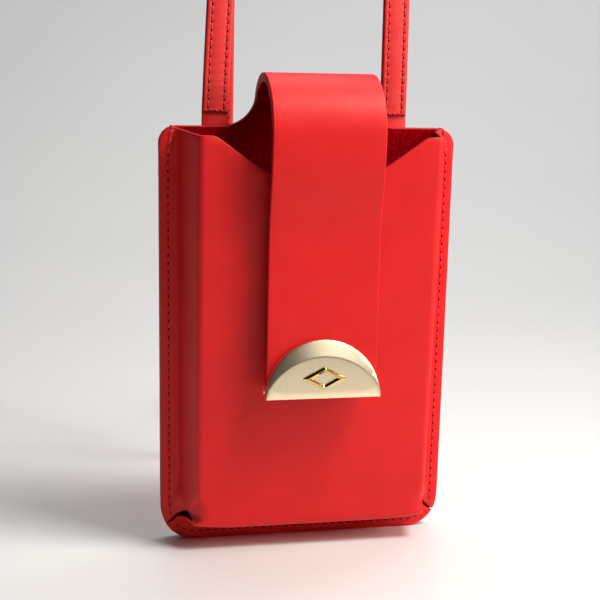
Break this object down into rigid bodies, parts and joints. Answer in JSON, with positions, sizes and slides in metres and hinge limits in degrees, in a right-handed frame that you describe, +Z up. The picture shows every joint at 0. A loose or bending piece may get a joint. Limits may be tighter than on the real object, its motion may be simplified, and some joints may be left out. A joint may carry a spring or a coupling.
{
  "type": "phone wallet case",
  "caption": "Slim upright leather phone pouch with a moulded front, a narrow fold-over flap with a half-moon metal clasp, and a long shoulder strap.",
  "frame": {"origin": "middle of the bottom of the case's bounding box, without the strap, on the surface it stands on", "axes": "+X to the right of someone facing the front, +Y to the back, +Z up"},
  "size_m": [0.1214, 0.2663, 0.2607],
  "materials": {
    "leather": "smooth fine-grain leather with a soft satin sheen",
    "strap_leather": "smooth leather, two layers sewn together, painted edges",
    "suede": "matte suede split",
    "thread": "waxed bonded thread",
    "board": "bonded leather board, hidden",
    "gold": "brushed champagne gold plating",
    "steel": "plain steel"
  },
  "bodies": {
    "root": {"back_lining": "suede", "back_panel": "leather", "back_stiffener": "board", "bend_lining": "suede", "card_pocket": "leather", "flap_bend": "leather", "front_lining": "suede", "front_panel": "leather", "pocket_thread": "thread", "seam_thread_bottom": "thread", "seam_thread_left": "thread", "seam_thread_right": "thread", "shoulder_strap": "strap_leather", "snap_rivet": "steel", "snap_socket": "steel", "snap_washer": "steel", "strap_tab_left": "strap_leather", "strap_tab_right": "strap_leather", "tab_thread_left": "thread", "tab_thread_right": "thread"},
    "flap": {"clasp_back_plate": "gold", "clasp_emblem": "gold", "clasp_magnet": "steel", "clasp_screw_left": "steel", "clasp_screw_right": "steel", "clasp_shell": "gold", "flap_lining": "suede", "flap_panel": "leather", "flap_stiffener": "board", "snap_stud": "steel"}
  },
  "joints": [
    {"name": "flap_hinge", "type": "hinge", "parent": "root", "child": "flap", "pos_m": [0, -0.002, 0.182], "axis": [-1, 0, 0], "range_deg": [0, 150], "deforming": ["flap_bend", "bend_lining"]}
  ]
}
